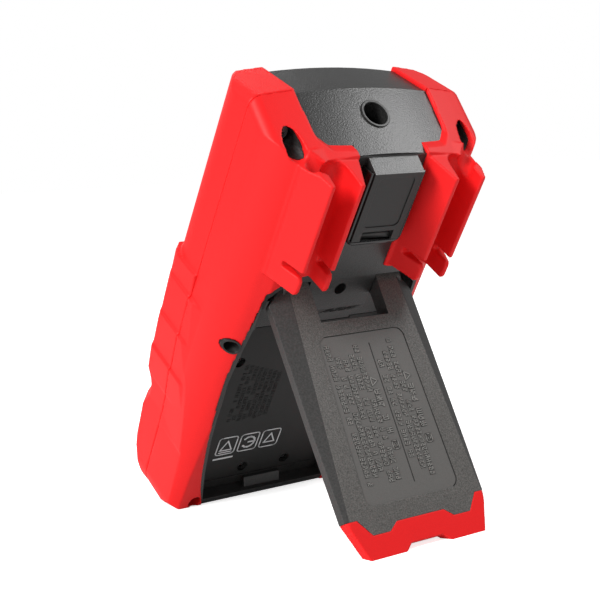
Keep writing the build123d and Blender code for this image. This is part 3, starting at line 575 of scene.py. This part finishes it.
def build_front_marks():
    """Scale round the knob, key labels and socket labels, all generic."""
    dice = random.Random(3)
    white = []
    tick_in, tick_out, label_r = DIAL_RADII
    for index in range(DIAL_STOPS):
        turn = math.radians(-DIAL_REACH + 2 * DIAL_REACH // (DIAL_STOPS - 1) * index)
        white += stroke([(tick_in * math.sin(turn), KNOB_Z + tick_in * math.cos(turn)),
                         (tick_out * math.sin(turn), KNOB_Z + tick_out * math.cos(turn))], 0.5)
        center_x = label_r * math.sin(turn)
        center_z = KNOB_Z + label_r * math.cos(turn)
        white += stroke(rounded_box(center_x - 1.4, center_x + 1.4, center_z - 1.0,
                                    center_z + 1.0, 0.9), 0.4, closed=True)
    for x in JACK_X:
        white += stroke([(x - 3.5, JACK_Z + 10.2), (x + 3.5, JACK_Z + 10.2)], 0.7)
        white += stroke(arc(x, JACK_Z, 8.4, 200, 340, 10), 0.4)
    white += stroke([(-36.0, 87.6), (36.0, 87.6)], 0.35)
    for x in KEY_X:
        for z in KEY_LABEL_Z:
            width = 1.6 + dice.random() * 1.6
            white += stroke([(x - width, z + 1.6), (x + width, z + 1.6)], 0.6)
    add_marks("front_prints", white, -0.02, 0.03, on_front, "case", LOOK["white"])


# Segments of a zero in a unit box, and the size and base of the digits in millimetres.
ZERO_SEGMENTS = (((0.1, 1), (0.9, 1)), ((1, 0.92), (1, 0.56)), ((1, 0.44), (1, 0.08)),
                 ((0.1, 0), (0.9, 0)), ((0, 0.08), (0, 0.44)), ((0, 0.56), (0, 0.92)))
DIGIT_WIDE = 7.0
DIGIT_TALL = 18.0
DIGIT_BASE_Z = 110.0


def on_display(x, z, height):
    """Point over the display's face, from across, up and a height off it."""
    return place(x, DISPLAY_Y - height, z)


def build_digits():
    """Five zeros, a decimal point and a bar scale on the display."""
    ink = []
    for index in range(5):
        left = -27.0 + 11.6 * index
        for (u0, v0), (u1, v1) in ZERO_SEGMENTS:
            ink += stroke([(left + DIGIT_WIDE * u0, DIGIT_BASE_Z + DIGIT_TALL * v0),
                           (left + DIGIT_WIDE * u1, DIGIT_BASE_Z + DIGIT_TALL * v1)], 1.5)
    ink += stroke([(-17.7, DIGIT_BASE_Z), (-17.6, DIGIT_BASE_Z)], 1.5)
    for index in range(31):
        tall = 3.4 if index % 5 == 0 else 2.0
        ink += stroke([(-28.5 + 1.9 * index, 98.0), (-28.5 + 1.9 * index, 98.0 + tall)], 0.5)
    ink += stroke(rounded_box(22.0, 29.0, 133.0, 137.0, 0.8), 0.5, closed=True)
    add_marks("display_digits", ink, 0.01, 0.06, on_display, "case", LOOK["ink"])


# ------------------------------------------------------------------ stage
CAMERA_AT = (0.31535, 0.44869, 0.14825)
VIEW_RIGHT = (-0.8141, 0.5789, -0.0467)
VIEW_AHEAD = (-0.5717, -0.8130, -0.1105)
LENS_MM = 80.21
FLOOR_GLOW = 0.72         # brightness added to the floor where the camera sees it
WORLD_LIGHT = 0.38        # strength of the surroundings as a light source

# Lights: name, place, aim, size, watts.
LIGHTS = (
    ("key_light", (1.0, 0.25, 0.70), (0.0, 0.0, 0.09), 0.4, 15.0),
    ("sheen_light", (-0.26, 0.19, 0.40), (0.0, 0.065, 0.147), 0.12, 0.6),
    ("front_light", (-0.3, -1.0, 0.8), (0.0, 0.0, 0.09), 0.7, 5.0),
)


def add_camera():
    """Camera behind the meter, on the side of the user's right hand."""
    data = bpy.data.cameras.new("camera")
    data.lens = LENS_MM
    data.sensor_width = 36.0
    data.clip_start = 0.01
    camera = bpy.data.objects.new("camera", data)
    bpy.context.collection.objects.link(camera)
    ahead = Vector(VIEW_AHEAD).normalized()
    right = Vector(VIEW_RIGHT)
    right = (right - ahead * right.dot(ahead)).normalized()
    above = right.cross(ahead)
    turn = Matrix((right, above, -ahead)).transposed()
    camera.matrix_world = Matrix.Translation(Vector(CAMERA_AT)) @ turn.to_4x4()
    bpy.context.scene.camera = camera


def add_area_light(name, at, aim, size, watts):
    """Soft square light aimed at a point, not seen by the camera."""
    data = bpy.data.lights.new(name, "AREA")
    data.size = size
    data.energy = watts
    light = bpy.data.objects.new(name, data)
    bpy.context.collection.objects.link(light)
    light.location = at
    light.visible_camera = False
    light.rotation_euler = (Vector(aim) - Vector(at)).to_track_quat("-Z", "Y").to_euler()


def add_floor():
    """Plain pale floor."""
    mesh = bpy.data.meshes.new("floor")
    reach = 6.0
    mesh.from_pydata([(-reach, -reach, 0), (reach, -reach, 0), (reach, reach, 0),
                      (-reach, reach, 0)], [], [(0, 1, 2, 3)])
    floor = bpy.data.objects.new("floor", mesh)
    bpy.context.collection.objects.link(floor)
    material, nodes, links, shader = new_material("floor", 0.9, (0.86, 0.86, 0.86))
    shader.inputs["Emission Color"].default_value = (1.0, 1.0, 1.0, 1.0)
    ray = nodes.new("ShaderNodeLightPath")
    glow = nodes.new("ShaderNodeMath")
    glow.operation = "MULTIPLY"
    glow.inputs[1].default_value = FLOOR_GLOW
    links.new(ray.outputs["Is Camera Ray"], glow.inputs[0])
    links.new(glow.outputs["Value"], shader.inputs["Emission Strength"])
    shader.inputs["Specular IOR Level"].default_value = 0.1
    dress(floor, material)


def add_world():
    """White surroundings that light the piece less than they show."""
    world = bpy.data.worlds.new("studio")
    world.use_nodes = True
    nodes = world.node_tree.nodes
    links = world.node_tree.links
    shown = nodes["Background"]
    shown.inputs["Color"].default_value = (1.0, 1.0, 1.0, 1.0)
    shown.inputs["Strength"].default_value = 1.0
    lighting = nodes.new("ShaderNodeBackground")
    lighting.inputs["Color"].default_value = (1.0, 1.0, 1.0, 1.0)
    lighting.inputs["Strength"].default_value = WORLD_LIGHT
    ray = nodes.new("ShaderNodeLightPath")
    mix = nodes.new("ShaderNodeMixShader")
    links.new(ray.outputs["Is Camera Ray"], mix.inputs["Fac"])
    links.new(lighting.outputs["Background"], mix.inputs[1])
    links.new(shown.outputs["Background"], mix.inputs[2])
    links.new(mix.outputs["Shader"], nodes["World Output"].inputs["Surface"])
    bpy.context.scene.world = world


def add_stage():
    """Camera, lights, floor and colour handling."""
    add_camera()
    add_world()
    add_floor()
    for name, at, aim, size, watts in LIGHTS:
        add_area_light(name, at, aim, size, watts)
    bpy.context.scene.view_settings.view_transform = "Standard"


dress_nodes()
build_soft_grips()
build_crisp_pieces()
build_stand()
build_stand_marks()
build_recess_marks()
build_boss_marks()
build_front_marks()
build_digits()
add_stage()
